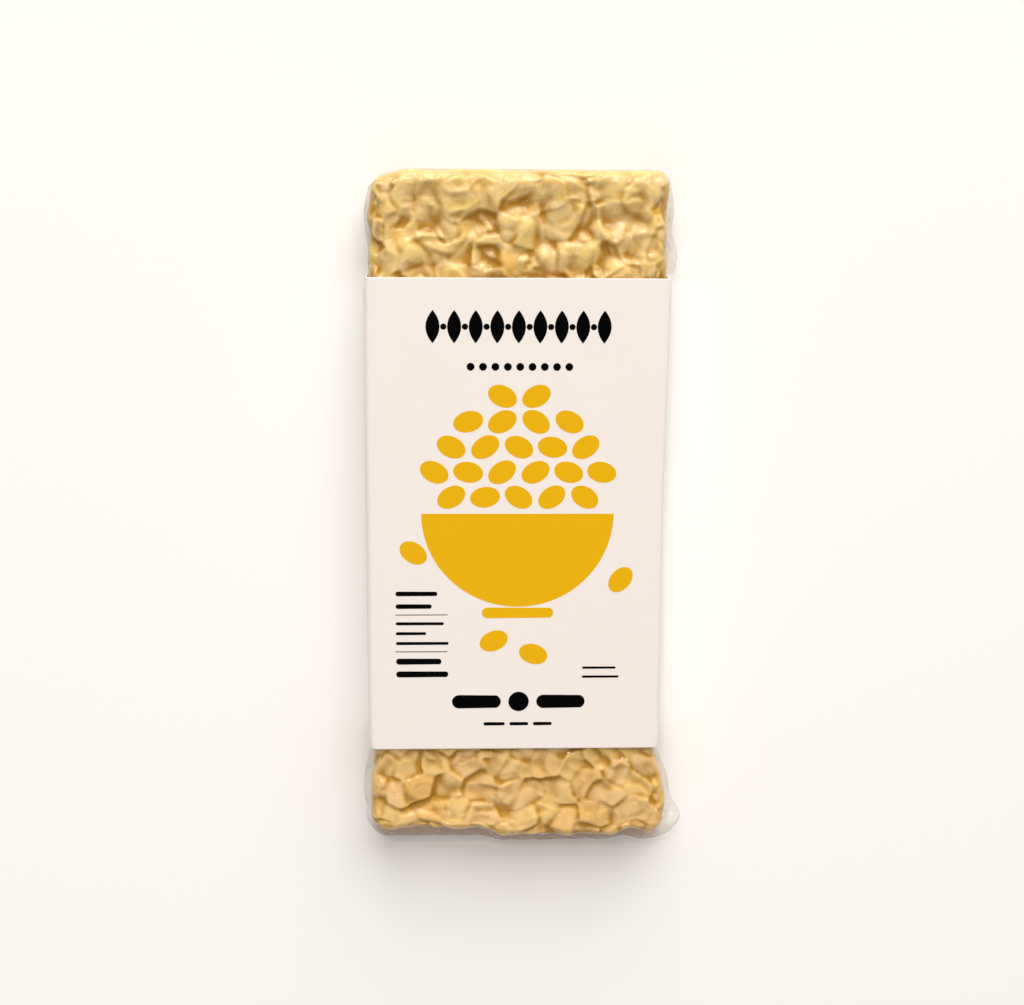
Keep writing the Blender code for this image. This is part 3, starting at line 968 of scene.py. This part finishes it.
fibre_bump.inputs["Strength"].default_value = 0.35
fibre_bump.inputs["Distance"].default_value = 0.02 * MM
links.new(fibre.outputs["Fac"], fibre_bump.inputs["Height"])
links.new(fibre_bump.outputs["Normal"], shader.inputs["Normal"])

card_core = bpy.data.materials.new("card_core")
card_core.use_nodes = True
shader = card_core.node_tree.nodes["Principled BSDF"]
shader.inputs["Base Color"].default_value = (0.84, 0.72, 0.58, 1)
shader.inputs["Roughness"].default_value = 0.85

sleeve_points = np.array([vert.co for vert in strip.verts])
sleeve = finish_mesh("sleeve", strip, drawn_in_sleeve(sleeve_points), card, {})
sleeve.data.materials.append(card_core)
board = sleeve.modifiers.new("board", "SOLIDIFY")
board.thickness = CARD
board.offset = 0
board.material_offset_rim = 1
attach(sleeve, "root")
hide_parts("card_sleeve")

# --- Print on the sleeve ---------------------------------------------------------------------
# Two flat inks on the front panel: a golden bowl heaped with beans and a few that fell beside it,
# and black for a border of seeds, a row of dots and the rounded bars that stand for small print.


def lay(ink, verts, x, y, length, width, lean):
    """Gives a flat shape of unit size its size, lean and place on the panel."""
    turn = Euler((0, 0, math.radians(lean))).to_matrix()
    bmesh.ops.scale(ink, vec=(length, width, 1), verts=verts)
    bmesh.ops.rotate(ink, cent=(0, 0, 0), matrix=turn, verts=verts)
    bmesh.ops.translate(ink, vec=(x, y, 0), verts=verts)


def add_oval(ink, x, y, length, width, lean):
    """A flat oval of ink, its length leaning from the x axis; sizes in millimetres and degrees."""
    verts = bmesh.ops.create_circle(ink, cap_ends=True, segments=40, radius=0.5)["verts"]
    lay(ink, verts, x, y, length, width, lean)


def add_bar(ink, left, right, y, height):
    """A flat bar of ink with round ends."""
    verts = bmesh.ops.create_circle(ink, cap_ends=True, segments=16, radius=height / 2)["verts"]
    ends = [vert for vert in verts if vert.co.x > 0]
    bmesh.ops.translate(ink, vec=(right - left - height, 0, 0), verts=ends)
    bmesh.ops.translate(ink, vec=(left + height / 2, y, 0), verts=verts)


def add_seed(ink, x, y, length, width, lean):
    """A flat seed of ink with two pointed ends."""
    verts = bmesh.ops.create_circle(ink, cap_ends=True, segments=24, radius=1)["verts"]
    for vert in verts:
        vert.co.y *= abs(vert.co.y)
    lay(ink, verts, x, y, length / 2, width / 2, lean)


def finish_ink(name, ink, colour, roughness):
    """Gives the flat shapes the thickness of ink and lays them on the sleeve's front panel."""
    flat = ink.faces[:]
    bmesh.ops.scale(ink, vec=(MM, MM, 1), verts=ink.verts)
    risen = bmesh.ops.extrude_face_region(ink, geom=flat, use_keep_orig=True)["geom"]
    top = [item for item in risen if isinstance(item, bmesh.types.BMVert)]
    bmesh.ops.translate(ink, vec=(0, 0, 2 * INK_RISE), verts=top)
    bmesh.ops.translate(ink, vec=(0, 0, front_height - INK_RISE), verts=ink.verts)
    bmesh.ops.recalc_face_normals(ink, faces=ink.faces)
    paint = bpy.data.materials.new(name)
    paint.use_nodes = True
    shader = paint.node_tree.nodes["Principled BSDF"]
    shader.inputs["Base Color"].default_value = colour
    shader.inputs["Roughness"].default_value = roughness
    shader.inputs["Specular IOR Level"].default_value = 0.03
    ink_points = np.array([vert.co for vert in ink.verts])
    printed = finish_mesh(name, ink, drawn_in_sleeve(ink_points), paint, {})
    printed.data.shade_flat()
    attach(printed, "root")
    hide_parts("card_sleeve")


BOWL_MIDDLE = (0.5, 2)  # all sizes of the print are in millimetres
BOWL_RADIUS = 24
BEAN_SIZE = (7.4, 5.2)
HEAP_ROWS = (5, 6, 5, 4, 2)
HEAP_FOOT = 6.2
ROW_PITCH = 6.3
BEAN_PITCH = 8.3
BEAN_LEANS = (-30, -12, 12, 30)
FALLEN_BEANS = (  # x, y and lean in degrees
    (-5.5, -31.0, 24), (4.5, -34.5, -18), (26.5, -15.0, 50), (-25.5, -8.0, -35),
)

golden = bmesh.new()
bmesh.ops.create_circle(golden, cap_ends=True, segments=96, radius=BOWL_RADIUS)
disc = golden.verts[:] + golden.edges[:] + golden.faces[:]
bmesh.ops.bisect_plane(golden, geom=disc, plane_co=(0, 0, 0), plane_no=(0, 1, 0), clear_outer=True)
bmesh.ops.translate(golden, vec=(*BOWL_MIDDLE, 0), verts=golden.verts)
add_bar(golden, -8.5, 9.5, -23.6, 2.8)
dice = random.Random(9)
for row, count in enumerate(HEAP_ROWS):
    for index in range(count):
        x = BOWL_MIDDLE[0] + (index - (count - 1) / 2) * BEAN_PITCH
        lean = dice.choice(BEAN_LEANS) + dice.uniform(-5, 5)
        add_oval(golden, x, HEAP_FOOT + ROW_PITCH * row, *BEAN_SIZE, lean)
for x, y, lean in FALLEN_BEANS:
    add_oval(golden, x, y, *BEAN_SIZE, lean)
finish_ink("golden_print", golden, (0.79, 0.43, 0.006, 1), 0.6)

BORDER_Y = 48.3
SEED_PITCH = 5.2
SEED_SIZE = (8.0, 3.4)
SEED_DOT = 1.5
DOTS_Y = 38.6
DOT_PITCH = 3.0
DOT = 1.9
BARS = (  # left, right, y and height
    (-30.0, -19.6, -18.6, 1.2), (-30.0, -21.0, -21.9, 1.2), (-30.1, -17.0, -24.1, 0.2),
    (-30.0, -18.0, -26.4, 0.8), (-30.0, -22.4, -29.0, 0.8), (-30.0, -16.8, -31.6, 0.8),
    (-30.1, -17.1, -33.8, 0.2), (-30.0, -18.6, -36.4, 1.6), (-30.0, -16.9, -39.8, 1.6),
    (17.0, 25.6, -38.2, 0.6), (17.0, 26.4, -40.6, 0.6),
    (-16.0, -3.6, -47.2, 3.6), (5.4, 17.8, -47.2, 3.6),
    (-8.0, -2.6, -53.2, 0.9), (-1.4, 3.4, -53.2, 0.9), (4.6, 9.4, -53.2, 0.9),
)

black = bmesh.new()
for index in range(9):
    add_seed(black, 0.2 + (index - 4) * SEED_PITCH, BORDER_Y, *SEED_SIZE, 90)
    if index:
        add_oval(black, 0.2 + (index - 4.5) * SEED_PITCH, BORDER_Y, SEED_DOT, SEED_DOT, 0)
for index in range(9):
    add_oval(black, 0.6 + (index - 4) * DOT_PITCH, DOTS_Y, DOT, DOT, 0)
for left, right, y, height in BARS:
    add_bar(black, left, right, y, height)
add_oval(black, 0.9, -47.2, 5.2, 5.2, 0)
finish_ink("black_print", black, (0.0012, 0.001, 0.001, 1), 0.8)
